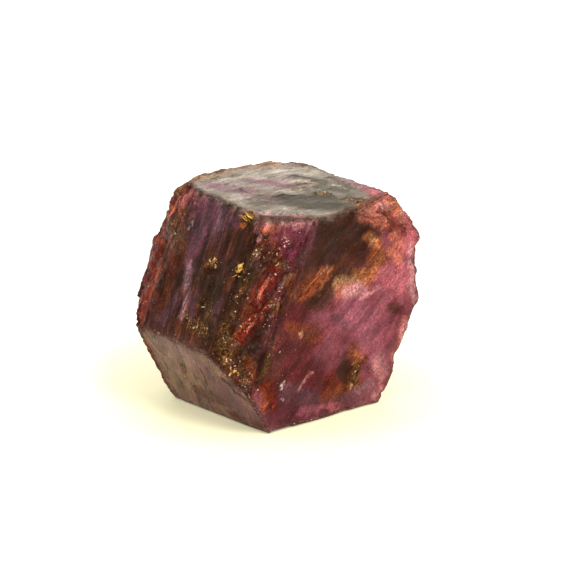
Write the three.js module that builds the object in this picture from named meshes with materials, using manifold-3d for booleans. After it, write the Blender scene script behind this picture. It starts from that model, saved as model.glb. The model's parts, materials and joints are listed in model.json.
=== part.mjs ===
// Raw ruby crystal, a natural corundum prism lying on one of its six long faces.
// Millimetres, +Z up. The crystal's own long axis, its c axis, runs along Y: the basal faces
// look forwards (-Y) and backwards (+Y), and the six prism faces stand around that axis.
// The origin lies under the middle of the crystal, on the surface that it rests on.

import * as THREE from "three";
import { ConvexGeometry } from "three/addons/geometries/ConvexGeometry.js";
import { mergeVertices } from "three/addons/utils/BufferGeometryUtils.js";
import Module from "manifold-3d";

// Driving dimensions

// Each face of the crystal: where it looks, as an azimuth from +X towards +Y and an elevation in
// degrees, its distance from the crystal's centre, and the height of its roughness, both in mm.
// The prism and basal faces grew smooth. The others are broken or worn, where edges once were.
const faces = {
  frontBasal: { azimuth: -92.5, elevation: 2.5, distance: 6.5, roughness: 0.05 },
  backBasal: { azimuth: 88.5, elevation: 0, distance: 6.05, roughness: 0.07 },
  top: { azimuth: -50, elevation: 85.5, distance: 8.1, roughness: 0.02 },
  underside: { azimuth: 0, elevation: -90, distance: 6.95, roughness: 0 },
  leftUpper: { azimuth: -178.5, elevation: 30, distance: 8.55, roughness: 0.05 },
  leftLower: { azimuth: 178.5, elevation: -29, distance: 9.4, roughness: 0.02 },
  rightUpper: { azimuth: 1.5, elevation: 31, distance: 9.65, roughness: 0.04 },
  rightLower: { azimuth: 0, elevation: -26, distance: 6.5, roughness: 0.05 },
  frontLeftBreak: { azimuth: -126.5, elevation: 19.5, distance: 8.35, roughness: 0.17 },
  backLeftBreak: { azimuth: 159.5, elevation: 27.5, distance: 9.2, roughness: 0.12 },
  backTopBreak: { azimuth: 118.5, elevation: 51, distance: 10.65, roughness: 0.11 },
  backLowBreak: { azimuth: 123.5, elevation: -17.5, distance: 8.75, roughness: 0.1 },
  backRightBreak: { azimuth: 53.5, elevation: 18, distance: 9.55, roughness: 0.12 },
  frontTopBreak: { azimuth: -69, elevation: 46, distance: 9.8, roughness: 0.24 },
  rightEdge: { azimuth: 0, elevation: 1, distance: 7.35, roughness: 0.14 },
  toe: { azimuth: -16, elevation: -42.5, distance: 8.4, roughness: 0.1 },
};

// Growth steps across the prism faces: each starts flush at one place along the c axis (Y, from
// the crystal's centre) and is deepest at the other, where it ends in a small riser.
const growthSteps = [
  { face: "leftUpper", from: 2.6, to: 0.3, depth: 0.16 },
  { face: "leftUpper", from: -2.9, to: -1.4, depth: 0.13 },
  { face: "leftLower", from: 0.9, to: -0.3, depth: 0.08 },
  { face: "leftLower", from: 4.2, to: 3.0, depth: 0.12 },
  { face: "top", from: 0.6, to: -1.9, depth: 0.1 },
  { face: "top", from: 5.2, to: 4.1, depth: 0.14 },
  { face: "rightUpper", from: 3.4, to: 1.2, depth: 0.18 },
  { face: "rightUpper", from: -1.0, to: -3.2, depth: 0.15 },
  { face: "rightLower", from: -3.0, to: -0.8, depth: 0.2 },
  { face: "rightLower", from: 1.4, to: 3.6, depth: 0.16 },
];

// Shallow broken hollows. at is the point on the face, from the crystal's centre (X, Y, Z).
// size is the hollow's length and width, turn its long axis from the horizontal, in degrees.
const hollows = [
  { face: "frontBasal", at: [0.6, -6.5, 5.2], size: [5.4, 3.0], depth: 0.3, turn: 14 },
  { face: "frontBasal", at: [2.6, -6.5, 2.2], size: [4.6, 1.5], depth: 0.32, turn: -6 },
  { face: "frontBasal", at: [0.5, -6.5, -3.8], size: [2.6, 2.1], depth: 0.3, turn: 20 },
  { face: "frontBasal", at: [-3.6, -6.5, -3.9], size: [2.6, 1.0], depth: 0.18, turn: 24 },
  { face: "frontBasal", at: [4.7, -6.5, -0.6], size: [3.0, 1.3], depth: 0.16, turn: 12 },
  { face: "leftUpper", at: [-5.5, -2.6, 7.6], size: [1.8, 1.0], depth: 0.5, turn: 62 },
  { face: "leftUpper", at: [-7.6, -1.2, 4.1], size: [1.7, 0.9], depth: 0.25, turn: 12 },
  { face: "leftUpper", at: [-7.5, -3.9, 4.3], size: [2.2, 1.2], depth: 0.32, turn: 20 },
  { face: "top", at: [2.0, -1.5, 8.0], size: [2.4, 1.1], depth: 0.22, turn: 55 },
  { face: "top", at: [1.4, -0.3, 8.0], size: [1.4, 0.7], depth: 0.18, turn: 5 },
  { face: "top", at: [2.8, -4.9, 7.8], size: [1.4, 0.7], depth: 0.26, turn: 50 },
  { face: "leftLower", at: [-8.8, 0.2, -3.2], size: [1.8, 0.5], depth: 0.14, turn: 70 },
  { face: "backBasal", at: [-2.4, 6.0, 2.2], size: [4.8, 2.6], depth: 0.34, turn: 30 },
  { face: "backBasal", at: [3.4, 6.0, -1.6], size: [3.0, 2.4], depth: 0.3, turn: -40 },
  { face: "backBasal", at: [-4.6, 6.0, -3.4], size: [2.2, 1.5], depth: 0.24, turn: 10 },
  { face: "rightUpper", at: [6.6, 0.6, 7.3], size: [2.2, 1.4], depth: 0.3, turn: 40 },
  { face: "rightLower", at: [5.6, 1.2, -3.4], size: [2.8, 1.4], depth: 0.28, turn: -20 },
];

// Wedge chips knocked out of the edges. Each is a cut between two faces, at a point near the
// edge, this wide along it and this deep.
const chips = [
  { between: ["top", "frontBasal"], at: [-0.3, -6.3, 7.8], width: 1.5, depth: 0.26 },
  { between: ["top", "frontLeftBreak"], at: [-3.6, -4.8, 7.9], width: 1.3, depth: 0.3 },
  { between: ["frontBasal", "rightEdge"], at: [7.2, -6.6, 3.9], width: 1.2, depth: 0.34 },
  { between: ["frontBasal", "rightLower"], at: [6.1, -6.6, -2.6], width: 0.8, depth: 0.3 },
  { between: ["frontBasal", "rightLower"], at: [5.3, -6.6, -4.0], width: 0.9, depth: 0.34 },
  { between: ["frontBasal", "toe"], at: [4.2, -6.7, -5.6], width: 0.8, depth: 0.26 },
  { between: ["leftUpper", "leftLower"], at: [-10.3, 0.9, -0.4], width: 1.1, depth: 0.22 },
  { between: ["leftLower", "frontLeftBreak"], at: [-9.2, -4.6, -2.4], width: 1.2, depth: 0.3 },
  { between: ["top", "backTopBreak"], at: [0.8, 5.0, 8.4], width: 1.0, depth: 0.3 },
  { between: ["top", "rightUpper"], at: [5.6, 0.8, 8.0], width: 1.3, depth: 0.28 },
  { between: ["backBasal", "backRightBreak"], at: [4.6, 6.0, 4.0], width: 1.2, depth: 0.26 },
  { between: ["backBasal", "backLowBreak"], at: [-3.8, 6.0, -4.6], width: 1.1, depth: 0.24 },
];

// Wear of the edges, and the size of the facets that the surface is divided into
const edgeWear = 0.4; // how far worn edges draw back, for each unit of how sharply they turn
const cornerBlend = 0.35; // how far from an edge its rounding is felt
const lumpSize = 1.3; // mean distance between lumps on the broken faces
const grainSize = 0.62; // mean distance between the smaller lumps on them
const fineEdge = 0.85; // longest facet side on rough ground and along edges
const plainEdge = 2.6; // longest facet side on smooth faces
const sideGrowth = 0.7; // how fast that length grows away from an edge, mm for each mm
const roughGround = 0.09; // roughness from which a face is divided finely

const crystalColour = "#8f5350";

// Helpers

const wasm = await Module();
wasm.setup();

// A closed geometry as a solid that can be cut and joined.
function solidOf(geometry) {
  const bare = geometry.clone();
  bare.deleteAttribute("normal");
  bare.deleteAttribute("uv");
  const merged = mergeVertices(bare, 1e-4);
  return new wasm.Manifold(
    new wasm.Mesh({
      numProp: 3,
      vertProperties: new Float32Array(merged.attributes.position.array),
      triVerts: new Uint32Array(merged.index.array),
    }),
  );
}

function normalOf({ azimuth, elevation }) {
  const turn = THREE.MathUtils.degToRad(azimuth);
  const rise = THREE.MathUtils.degToRad(elevation);
  const level = Math.cos(rise);
  return new THREE.Vector3(level * Math.cos(turn), level * Math.sin(turn), Math.sin(rise));
}

const planes = Object.entries(faces).map(([name, face]) => ({
  ...face,
  name,
  normal: normalOf(face),
}));
const planeNamed = Object.fromEntries(planes.map((plane) => [plane.name, plane]));
const cAxis = new THREE.Vector3(0, 1, 0);

// How far inside a face's plane a point lies.
const insideBy = (plane, point) => plane.distance - plane.normal.dot(point);

// The sharp crystal: the convex solid whose corners are where three planes meet.
function sharpCrystal() {
  const corners = [];
  const shared = new THREE.Matrix3();
  const tolerance = 1e-6;
  planes.forEach((a, i) =>
    planes.slice(i + 1).forEach((b, j) =>
      planes.slice(i + j + 2).forEach((c) => {
        const [p, q, r] = [a.normal, b.normal, c.normal];
        shared.set(p.x, p.y, p.z, q.x, q.y, q.z, r.x, r.y, r.z);
        if (Math.abs(shared.determinant()) < tolerance) return;
        const corner = new THREE.Vector3(a.distance, b.distance, c.distance);
        corner.applyMatrix3(shared.invert());
        if (planes.every((plane) => insideBy(plane, corner) > -tolerance)) corners.push(corner);
      }),
    ),
  );
  return solidOf(new ConvexGeometry(corners));
}

// Two directions that lie in a face: across, square to the c axis on a prism face, and up.
function directionsIn(plane) {
  const level = new THREE.Vector3(0, 0, 1).cross(plane.normal).normalize();
  return [level, plane.normal.clone().cross(level).normalize()];
}

// The wedge that leaves a growth step: a thin sliver above a face, thickening along the c axis.
function growthStepCutter({ face, from, to, depth }) {
  const plane = planeNamed[face];
  const along = cAxis.clone().cross(plane.normal).normalize();
  const reach = 12;
  const clear = 0.6;
  const section = [
    [from, 0],
    [to, -depth],
    [to, clear],
    [from, clear],
  ];
  const points = section.flatMap(([y, height]) => {
    const foot = plane.normal.clone().multiplyScalar(plane.distance + height);
    foot.addScaledVector(cAxis, y - foot.y);
    foot.addScaledVector(plane.normal, plane.distance + height - plane.normal.dot(foot));
    return [-reach, reach].map((shift) => foot.clone().addScaledVector(along, shift));
  });
  return solidOf(new ConvexGeometry(points));
}

// The lens that leaves a hollow: a flat faceted ball, most of it above the face.
function hollowCutter({ face, at, size, depth, turn }) {
  const plane = planeNamed[face];
  const [level, up] = directionsIn(plane);
  const lens = new THREE.IcosahedronGeometry(1, 1);
  const thickness = 3 * depth;
  // A ball of this thickness, sunk to this depth, meets the face over a part of its width.
  const spread = Math.sqrt(1 - ((thickness - depth) / thickness) ** 2);
  lens.scale(size[0] / 2 / spread, size[1] / 2 / spread, thickness);
  lens.rotateZ(THREE.MathUtils.degToRad(turn));
  lens.applyMatrix4(new THREE.Matrix4().makeBasis(level, up, plane.normal));
  const place = new THREE.Vector3(...at);
  place.addScaledVector(plane.normal, insideBy(plane, place) + thickness - depth);
  return solidOf(lens.translate(place.x, place.y, place.z));
}

// The wedge that leaves a chip: a three-sided notch across the edge between two faces.
function chipCutter({ between, at, width, depth }) {
  const [a, b] = between.map((name) => planeNamed[name]);
  const outward = a.normal.clone().add(b.normal).normalize();
  const edge = a.normal.clone().cross(b.normal).normalize();
  const side = outward.clone().cross(edge);
  const lip = new THREE.Vector3(...at);
  lip.addScaledVector(a.normal, insideBy(a, lip));
  lip.addScaledVector(b.normal, insideBy(b, lip));
  lip.addScaledVector(a.normal, insideBy(a, lip));
  const bottom = lip.clone().addScaledVector(outward, -depth);
  const tall = 1.2;
  const points = [-1, 1].flatMap((way) => [
    bottom.clone().addScaledVector(side, way * width),
    bottom.clone().addScaledVector(edge, width / 2).addScaledVector(side, way * width)
      .addScaledVector(outward, depth + tall / 2),
    bottom.clone().addScaledVector(edge, -width).addScaledVector(side, way * width)
      .addScaledVector(outward, depth + tall),
  ]);
  return solidOf(new ConvexGeometry(points));
}

// Smooth random heights from -1 to 1, the same at each run.
function latticeValue(x, y, z) {
  let key = Math.imul(x, 374761393) ^ Math.imul(y, 668265263) ^ Math.imul(z, 2147483647);
  key = Math.imul(key ^ (key >>> 13), 1274126177);
  return ((key ^ (key >>> 16)) & 0xffff) / 0x8000 - 1;
}

function smoothNoise(point, spacing) {
  const scaled = point.clone().divideScalar(spacing);
  const cell = scaled.clone().floor();
  const part = scaled.sub(cell);
  const ease = (t) => t * t * (3 - 2 * t);
  const mix = THREE.MathUtils.lerp;
  const corner = (i, j, k) => latticeValue(cell.x + i, cell.y + j, cell.z + k);
  const row = (j, k) => mix(corner(0, j, k), corner(1, j, k), ease(part.x));
  const sheet = (k) => mix(row(0, k), row(1, k), ease(part.y));
  return mix(sheet(0), sheet(1), ease(part.z));
}

// How strongly each face is felt at a point: nearly all of one on a face, shared at an edge.
function shareOfFaces(point) {
  const felt = planes.map((plane) => Math.exp(-insideBy(plane, point) / cornerBlend));
  const total = felt.reduce((sum, value) => sum + value, 0);
  return felt.map((value) => value / total);
}

// The longest that a facet's side may be at a point: short on rough ground and along the edges,
// and growing evenly towards the middle of a smooth face.
function longestSide(point) {
  const depths = planes.map((plane) => insideBy(plane, point));
  const [nearest, second] = depths.map((_, i) => i).sort((i, j) => depths[i] - depths[j]);
  if (planes[nearest].roughness >= roughGround) return fineEdge;
  return Math.min(plainEdge, fineEdge + sideGrowth * Math.max(depths[second], 0));
}

// Divides the longest sides until none is too long. A side is halved in both facets that share
// it, so the surface stays closed.
function divided(solid) {
  const { vertProperties, triVerts, numProp } = solid.getMesh();
  const vertices = [];
  for (let i = 0; i < vertProperties.length; i += numProp) {
    vertices.push(new THREE.Vector3(...vertProperties.subarray(i, i + 3)));
  }
  const middles = new Map();
  const sideOf = (i, j) => {
    const key = Math.min(i, j) * 0x100000 + Math.max(i, j);
    if (!middles.has(key)) {
      const middle = vertices[i].clone().add(vertices[j]).multiplyScalar(0.5);
      const length = vertices[i].distanceTo(vertices[j]);
      middles.set(key, { middle, length, tooLong: length > longestSide(middle), vertex: -1 });
    }
    return middles.get(key);
  };
  const waiting = [];
  for (let i = 0; i < triVerts.length; i += 3) waiting.push([...triVerts.subarray(i, i + 3)]);
  const facets = [];
  while (waiting.length) {
    const facet = waiting.pop();
    const sides = facet.map((vertex, i) => sideOf(vertex, facet[(i + 1) % 3]));
    let longest = -1;
    sides.forEach((side, i) => {
      if (side.tooLong && (longest < 0 || side.length > sides[longest].length)) longest = i;
    });
    if (longest < 0) {
      facets.push(facet);
      continue;
    }
    const side = sides[longest];
    if (side.vertex < 0) {
      side.vertex = vertices.length;
      vertices.push(side.middle);
    }
    const [a, b, c] = [0, 1, 2].map((i) => facet[(longest + i) % 3]);
    waiting.push([a, side.vertex, c], [side.vertex, b, c]);
  }
  return { vertices, facets };
}

// Moves a point of the sharp crystal to where growth, wear and breakage left it.
function weathered(point) {
  const shares = shareOfFaces(point);
  const outward = new THREE.Vector3();
  let roughness = 0;
  planes.forEach((plane, i) => {
    outward.addScaledVector(plane.normal, shares[i]);
    roughness += shares[i] * plane.roughness;
  });
  const sharpness = 1 - outward.length();
  const lumps = smoothNoise(point, lumpSize) + 0.7 * smoothNoise(point, grainSize);
  const chipping = 1 + 0.8 * smoothNoise(point, grainSize * 1.7);
  const move = roughness * lumps - edgeWear * sharpness * chipping;
  return point.clone().addScaledVector(outward.normalize(), move);
}

// The crystal

// The whole crystal, worn and broken, but not yet cut by its steps, hollows and chips.
function weatheredCrystal() {
  const { vertices, facets } = divided(sharpCrystal());
  const rest = -faces.underside.distance;
  const placed = vertices.map((vertex) => {
    const point = weathered(vertex);
    point.z = Math.max(point.z, rest);
    return point;
  });
  const geometry = new THREE.BufferGeometry().setFromPoints(placed);
  return solidOf(geometry.setIndex(facets.flat()));
}

function rubyCrystalGeometry() {
  let solid = weatheredCrystal();
  for (const step of growthSteps) solid = solid.subtract(growthStepCutter(step));
  for (const hollow of hollows) solid = solid.subtract(hollowCutter(hollow));
  for (const chip of chips) solid = solid.subtract(chipCutter(chip));
  const { vertProperties, triVerts } = solid.getMesh();
  const geometry = new THREE.BufferGeometry();
  geometry.setAttribute("position", new THREE.BufferAttribute(vertProperties, 3));
  geometry.setIndex(new THREE.BufferAttribute(triVerts, 1));
  geometry.computeBoundingBox();
  const { min, max } = geometry.boundingBox;
  return geometry.translate(-(min.x + max.x) / 2, -(min.y + max.y) / 2, -min.z);
}

const geometry = rubyCrystalGeometry();
geometry.computeVertexNormals();

const ruby = new THREE.Mesh(
  geometry,
  new THREE.MeshStandardMaterial({
    color: crystalColour,
    roughness: 0.45,
    metalness: 0,
    flatShading: true,
  }),
);
ruby.name = "ruby_crystal";

const group = new THREE.Group();
group.add(ruby);

export default group;
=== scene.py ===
# A raw ruby crystal on a pale surface, in soft white light
import json
import math
import random
from itertools import product

import bpy
import numpy as np
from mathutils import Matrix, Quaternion, Vector

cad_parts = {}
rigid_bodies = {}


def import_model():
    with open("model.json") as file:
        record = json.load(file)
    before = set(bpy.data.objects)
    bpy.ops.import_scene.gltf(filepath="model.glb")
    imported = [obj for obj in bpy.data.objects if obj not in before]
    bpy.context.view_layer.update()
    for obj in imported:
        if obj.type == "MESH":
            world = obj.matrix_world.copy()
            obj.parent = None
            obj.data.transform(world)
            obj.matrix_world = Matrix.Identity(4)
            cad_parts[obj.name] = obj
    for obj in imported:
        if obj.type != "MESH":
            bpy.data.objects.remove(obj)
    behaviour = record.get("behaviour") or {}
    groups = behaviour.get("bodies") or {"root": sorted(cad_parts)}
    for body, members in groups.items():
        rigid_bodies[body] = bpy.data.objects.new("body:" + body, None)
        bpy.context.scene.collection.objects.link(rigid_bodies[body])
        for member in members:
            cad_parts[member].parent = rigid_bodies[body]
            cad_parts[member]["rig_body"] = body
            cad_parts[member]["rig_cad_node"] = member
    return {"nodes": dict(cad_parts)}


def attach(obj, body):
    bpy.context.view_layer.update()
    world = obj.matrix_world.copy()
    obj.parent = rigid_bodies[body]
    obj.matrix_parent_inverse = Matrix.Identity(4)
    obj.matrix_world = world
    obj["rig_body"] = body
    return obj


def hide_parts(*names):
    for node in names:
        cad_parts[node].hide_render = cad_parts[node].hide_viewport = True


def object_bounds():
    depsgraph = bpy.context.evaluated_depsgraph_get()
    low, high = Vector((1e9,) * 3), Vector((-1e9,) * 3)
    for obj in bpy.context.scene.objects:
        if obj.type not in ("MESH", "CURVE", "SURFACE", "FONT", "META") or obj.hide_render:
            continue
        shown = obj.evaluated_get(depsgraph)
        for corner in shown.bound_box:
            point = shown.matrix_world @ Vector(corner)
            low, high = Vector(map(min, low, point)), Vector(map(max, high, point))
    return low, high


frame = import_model()
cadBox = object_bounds()
print("frame loaded")

# The script shapes the crystal in millimetres, from the crystal's own centre
mm = 0.001
centreFromCorner = Vector((10.3075, 6.9328, 6.95))  # from the lowest corner of the part's box
crystalCentre = cadBox[0] + centreFromCorner * mm

# Which way each face looks (azimuth, elevation), its distance from the centre, and its finish
faces = {
    "front": {"looks": (-92.5, 2.5), "distance": 6.5, "finish": "basal"},
    "back": {"looks": (88.5, 0), "distance": 6.05, "finish": "basal"},
    "top": {"looks": (-50, 85.5), "distance": 8.1, "finish": "prism"},
    "under": {"looks": (0, -90), "distance": 6.95, "finish": "rest"},
    "leftUpper": {"looks": (-178.5, 30), "distance": 8.55, "finish": "prism"},
    "leftLower": {"looks": (178.5, -29), "distance": 9.4, "finish": "prism"},
    "rightUpper": {"looks": (1.5, 31), "distance": 9.65, "finish": "prism"},
    "rightLower": {"looks": (0, -26), "distance": 6.5, "finish": "prism"},
    "frontLeftBreak": {"looks": (-126.5, 19.5), "distance": 8.35, "finish": "broken"},
    "backLeftBreak": {"looks": (159.5, 27.5), "distance": 9.2, "finish": "broken"},
    "backTopBreak": {"looks": (118.5, 51), "distance": 10.65, "finish": "broken"},
    "backLowBreak": {"looks": (123.5, -17.5), "distance": 8.75, "finish": "broken"},
    "backRightBreak": {"looks": (53.5, 18), "distance": 9.55, "finish": "broken"},
    "frontTopBreak": {"looks": (-69, 46), "distance": 9.8, "finish": "broken"},
    "rightEdge": {"looks": (0, 1), "distance": 7.35, "finish": "broken"},
    "toe": {"looks": (-16, -42.5), "distance": 8.4, "finish": "broken"},
}


def directionOf(azimuth, elevation):
    turn, rise = math.radians(azimuth), math.radians(elevation)
    level = math.cos(rise)
    return np.array([level * math.cos(turn), level * math.sin(turn), math.sin(rise)])


faceNormals = {name: directionOf(*face["looks"]) for name, face in faces.items()}


# Random numbers from 0 to 1 that are the same at every run, one for each cell of a lattice
def hashed(cell, seed):
    x, y, z = cell[..., 0], cell[..., 1], cell[..., 2]
    key = x * 374761393 + y * 668265263 + z * 1440662683 + seed * 97463477
    key = (key ^ (key >> 13)) * 1274126177 & 0x7FFFFFFF
    key = (key ^ (key >> 16)) * 362437 & 0x7FFFFFFF
    return ((key >> 7) & 0xFFFF) / 65535.0


# Smooth random heights from -1 to 1
def noise(points, spacing, seed=0):
    scaled = points / spacing
    cell = np.floor(scaled).astype(np.int64)
    part = scaled - cell
    part = part * part * (3 - 2 * part)
    total = 0.0
    for corner in product((0, 1), repeat=3):
        share = 1.0
        for axis, step in enumerate(corner):
            share = share * (part[:, axis] if step else 1 - part[:, axis])
        total = total + share * hashed(cell + np.array(corner), seed)
    return total * 2 - 1


# The same in several layers, each finer and lower than the one before
def fractal(points, spacing, layers=3, seed=0):
    total, height, weight = 0.0, 1.0, 0.0
    for layer in range(layers):
        total = total + height * noise(points + layer * 17.3, spacing / 2**layer, seed + layer)
        weight += height
        height *= 0.55
    return total / weight


# How far each point is from the nearest of many scattered spots, and that spot's own number
def cells(points, spacing, seed=0):
    scaled = points / spacing
    base = np.floor(scaled).astype(np.int64)
    nearest = np.full(len(points), 9.0)
    pick = np.zeros(len(points))
    for step in product((-1, 0, 1), repeat=3):
        cell = base + np.array(step)
        spot = cell + np.stack([hashed(cell, seed + n) for n in (1, 2, 3)], -1)
        away = np.linalg.norm(scaled - spot, axis=1)
        closer = away < nearest
        pick = np.where(closer, hashed(cell, seed + 4), pick)
        nearest = np.where(closer, away, nearest)
    return nearest, pick


# From 0 at low to 1 at high, with no kink at either end
def smooth(low, high, value):
    t = np.clip((value - low) / (high - low), 0, 1)
    return t * t * (3 - 2 * t)


def onlyObject(piece):
    bpy.ops.object.select_all(action="DESELECT")
    piece.select_set(True)
    bpy.context.view_layer.objects.active = piece


# Each face has a frame of its own: a point near it that its origin is under, the way that its
# first direction runs, its two ground colours, the angle of its growth streaks, and how fibrous
# it is
paintFrames = {
    "front": {"near": (0, -6, 0), "across": (1, 0, 0),
              "colours": ("rose", "mauve"), "streak": 38, "fibrous": 0.2},
    "frontLeftBreak": {"near": (-6, -5, 2), "across": (0.8, -0.6, 0),
                       "colours": ("chestnut", "brick"), "streak": 55, "fibrous": 0.5},
    "leftUpper": {"near": (-8, 0, 4), "across": (0, -1, 0),
                  "colours": ("chestnut", "umber"), "streak": 97, "fibrous": 0.8},
    "leftLower": {"near": (-9, 0, -3), "across": (0, -1, 0),
                  "colours": ("clay", "tan"), "streak": 80, "fibrous": 0.1},
    # The top's second ground colour is a painted sheen
    "top": {"near": (0, 0, 8), "across": (1, 0, 0),
            "colours": ("grey", "paintedSheen"), "streak": 4, "fibrous": 0.35},
    "frontTopBreak": {"near": (4, -6, 6), "across": (1, 0, 0),
                      "colours": ("salmon", "rust"), "streak": 20, "fibrous": 0.3},
    "backLeftBreak": {"near": (-6, 4, 4), "across": (0, -1, 0),
                      "colours": ("brick", "rust"), "streak": 97, "fibrous": 0.6},
    "backTopBreak": {"near": (0, 5, 8), "across": (1, 0, 0),
                     "colours": ("honey", "rust"), "streak": 10, "fibrous": 0.5},
    "rightEdge": {"near": (7, 0, 1), "across": (0, 1, 0),
                  "colours": ("rose", "wine"), "streak": 85, "fibrous": 0.7},
    "toe": {"near": (5, -3, -5), "across": (0, 1, 0),
            "colours": ("rose", "magenta"), "streak": 30, "fibrous": 0.4},
    "back": {"near": (0, 6, 0), "across": (-1, 0, 0),
             "colours": ("rose", "mauve"), "streak": 30, "fibrous": 0.2},
    "rightUpper": {"near": (7, 0, 5), "across": (0, 1, 0),
                   "colours": ("purple", "chestnut"), "streak": 92, "fibrous": 0.8},
    "rightLower": {"near": (6, 0, -3), "across": (0, 1, 0),
                   "colours": ("clay", "tan"), "streak": 86, "fibrous": 0.1},
    "under": {"near": (0, 0, -7), "across": (1, 0, 0),
              "colours": ("clay", "lilac"), "streak": 3, "fibrous": 0.3},
    "backLowBreak": {"near": (-5, 5, -3), "across": (-1, 0, 0),
                     "colours": ("chestnut", "brick"), "streak": 60, "fibrous": 0.7},
    "backRightBreak": {"near": (5, 5, 3), "across": (-1, 0, 0),
                       "colours": ("rust", "magenta"), "streak": 70, "fibrous": 0.6},
}


# The origin of a face's frame, and its two directions
def faceFrame(name):
    normal = faceNormals[name]
    place = paintFrames[name]
    across = np.array(place["across"], float)
    across = across - normal * (across @ normal)
    across /= np.linalg.norm(across)
    up = np.cross(normal, across)
    near = np.array(place["near"], float)
    return near + normal * (faces[name]["distance"] - normal @ near), across, up


def streakDirections(name):
    origin, across, up = faceFrame(name)
    tilt = math.radians(paintFrames[name]["streak"])
    along = across * math.cos(tilt) + up * math.sin(tilt)
    return origin, along, np.cross(faceNormals[name], along)


# Each point in its face's frame, turned so that the first direction runs along the streaks
def streakPlaces(points, share):
    places = np.zeros((len(points), 3))
    for name in faces:
        origin, *ways = (*streakDirections(name), faceNormals[name])
        local = np.stack([(points - origin) @ way for way in ways], 1)
        places += share[name][:, None] * local
    return places


# The crystal's fine shape, in millimetres
ruby = {
    "voxel": 0.118,
    "edgeBlend": 0.3,  # how far from an edge its wear reaches
    "rimBlend": 0.1,  # the same, for what keeps close to the edge
    "patchSize": 2.6,  # patches in which broken ground reaches onto the faces beside it
    "patchReach": 1.2,
    "ridgeWidth": 0.75,
    "fineRidgeWidth": 0.34,
    "ridgeHeight": 0.14,
    "humpSize": 1.1,
    "humpHeight": 0.2,
    "beadSize": 0.55,
    "beadHeight": 0.13,
    "grainSize": 0.27,
    "grainHeight": 0.05,
    "growthLineWidth": 0.85,
    "fineGrowthLineWidth": 0.24,
    "growthLineHeight": 0.035,
    "streakWidth": 1.3,
    "fineStreakWidth": 0.3,
    "streakHeight": 0.05,
    "toothWidth": 0.3,
    "toothDepth": 0.16,
    "chipSize": 0.5,
    "chipDepth": 0.22,
    # Lumps and dents in the outline: face, place on it, how far each reaches, and its height
    "lumps": [
        ("front", (7.2, 4.7), 0.8, 0.3),
        ("front", (6.7, 2.9), 0.6, -0.2),
        ("front", (7.0, 0.0), 0.7, 0.15),
        ("front", (5.2, -3.9), 0.6, -0.22),
        ("front", (6.1, -2.0), 0.5, 0.14),
        ("frontTopBreak", (2.4, 0.9), 0.7, 0.2),
        ("frontTopBreak", (0.6, 0.7), 0.6, -0.16),
        ("backLeftBreak", (-1.9, 2.7), 0.9, 0.2),
        ("backLeftBreak", (-2.2, 0.2), 0.7, 0.15),
        ("backLeftBreak", (-1.4, -2.2), 0.6, -0.15),
        ("frontLeftBreak", (0.2, -7.6), 0.9, -0.14),
        ("back", (-4.6, 3.2), 0.9, -0.22),
        ("back", (4.4, -2.6), 0.8, 0.18),
        ("backRightBreak", (0.4, 0.6), 0.8, -0.2),
        ("rightEdge", (2.8, 0.1), 0.9, -0.18),
        ("rightEdge", (-2.6, 0.0), 0.7, 0.14),
    ],
}


def finePiece():
    node = frame["nodes"]["ruby_crystal"]
    piece = node.copy()
    piece.data = node.data.copy()
    piece.name = piece.data.name = "ruby_crystal_surface"
    piece.parent = None
    piece.animation_data_clear()
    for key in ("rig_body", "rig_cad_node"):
        if key in piece:
            del piece[key]
    bpy.context.scene.collection.objects.link(piece)
    onlyObject(piece)
    bpy.ops.object.mode_set(mode="EDIT")
    bpy.ops.mesh.select_all(action="SELECT")
    bpy.ops.mesh.remove_doubles(threshold=0.001 * mm)
    bpy.ops.object.mode_set(mode="OBJECT")
    # The sizes are brought to whole millimetres around the crystal's centre
    points = readPoints(piece)
    writePoints(piece, (points - np.array(crystalCentre)) / mm)
    remesh = piece.modifiers.new("even facets", "REMESH")
    remesh.mode = "VOXEL"
    remesh.voxel_size = ruby["voxel"]
    remesh.use_smooth_shade = True
    bpy.ops.object.modifier_apply(modifier=remesh.name)
    return piece


def readPoints(piece):
    points = np.zeros(len(piece.data.vertices) * 3)
    piece.data.vertices.foreach_get("co", points)
    return points.reshape(-1, 3)


def writePoints(piece, points):
    piece.data.vertices.foreach_set("co", points.astype(np.float32).ravel())
    piece.data.update()


def readNormals(piece):
    normals = np.zeros(len(piece.data.vertices) * 3)
    piece.data.vertices.foreach_get("normal", normals)
    return normals.reshape(-1, 3)


# How strongly each face is felt at each point: nearly all of one on a face, shared at an edge
def shareOfFaces(points, reach):
    names = list(faces)
    inside = np.stack([faces[name]["distance"] - points @ faceNormals[name] for name in names], 1)
    felt = np.exp(-np.maximum(inside, 0) / reach)
    felt = felt / felt.sum(1, keepdims=True)
    return {name: felt[:, i] for i, name in enumerate(names)}


# How sharply the surface turns at each point, from the faces that are felt there
def turnOf(share):
    facing = sum(share[name][:, None] * faceNormals[name] for name in faces)
    return 1 - np.linalg.norm(facing, axis=1)


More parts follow.
